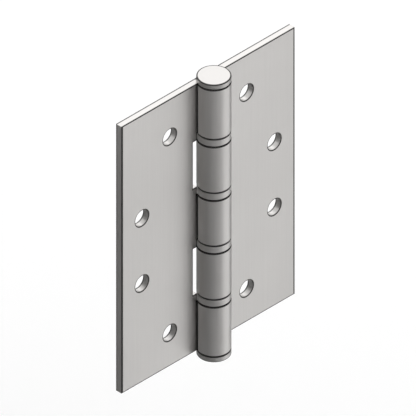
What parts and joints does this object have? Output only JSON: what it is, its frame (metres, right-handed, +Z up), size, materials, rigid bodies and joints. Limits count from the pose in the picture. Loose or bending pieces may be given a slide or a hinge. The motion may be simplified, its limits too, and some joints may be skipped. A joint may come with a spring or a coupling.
{
  "type": "ball bearing hinge",
  "caption": "Flat-leaf steel door hinge opened flat, with rolled knuckles on a pin, ball bearing bands between them, flat button tips and plain screw holes.",
  "frame": {"origin": "on the pin's axis at mid-height of the leaves, which is the centre of the opened hinge", "axes": "+X out along the door leaf, +Y out of the backs of the leaves, +Z up the pin"},
  "size_m": [0.075, 0.0108, 0.104],
  "materials": {
    "satin_steel": "fine satin brush",
    "turned_steel": "fine turned face",
    "bearing_cup": "drawn and polished",
    "pin_steel": "ground",
    "hardened_steel": "polished",
    "retainer_brass": "stamped"
  },
  "bodies": {
    "frame_side": {"frame_leaf": "satin_steel", "hinge_pin": "pin_steel", "top_tip": "turned_steel", "bottom_tip": "turned_steel", "bearing_1_cup": "bearing_cup", "bearing_2_cup": "bearing_cup", "bearing_3_cup": "bearing_cup", "bearing_4_cup": "bearing_cup"},
    "door_side": {"door_leaf": "satin_steel", "bearing_1_race": "hardened_steel", "bearing_2_race": "hardened_steel", "bearing_3_race": "hardened_steel", "bearing_4_race": "hardened_steel"},
    "ball_train_1": {"bearing_1_retainer": "retainer_brass", "bearing_1_balls": "hardened_steel"},
    "ball_train_2": {"bearing_2_retainer": "retainer_brass", "bearing_2_balls": "hardened_steel"},
    "ball_train_3": {"bearing_3_retainer": "retainer_brass", "bearing_3_balls": "hardened_steel"},
    "ball_train_4": {"bearing_4_retainer": "retainer_brass", "bearing_4_balls": "hardened_steel"}
  },
  "joints": [
    {"name": "leaf_swing", "type": "hinge", "parent": "frame_side", "child": "door_side", "pos_m": [0, 0, 0], "axis": [0, 0, -1], "range_deg": [-85, 185]},
    {"name": "ball_train_1_roll", "type": "hinge", "parent": "frame_side", "child": "ball_train_1", "pos_m": [0, 0, 0], "axis": [0, 0, -1], "range_deg": [-43, 93]},
    {"name": "ball_train_2_roll", "type": "hinge", "parent": "frame_side", "child": "ball_train_2", "pos_m": [0, 0, 0], "axis": [0, 0, -1], "range_deg": [-43, 93]},
    {"name": "ball_train_3_roll", "type": "hinge", "parent": "frame_side", "child": "ball_train_3", "pos_m": [0, 0, 0], "axis": [0, 0, -1], "range_deg": [-43, 93]},
    {"name": "ball_train_4_roll", "type": "hinge", "parent": "frame_side", "child": "ball_train_4", "pos_m": [0, 0, 0], "axis": [0, 0, -1], "range_deg": [-43, 93]}
  ],
  "couplings": [
    {"joint": "ball_train_1_roll", "follows": "leaf_swing", "ratio": 0.5},
    {"joint": "ball_train_2_roll", "follows": "leaf_swing", "ratio": 0.5},
    {"joint": "ball_train_3_roll", "follows": "leaf_swing", "ratio": 0.5},
    {"joint": "ball_train_4_roll", "follows": "leaf_swing", "ratio": 0.5}
  ]
}
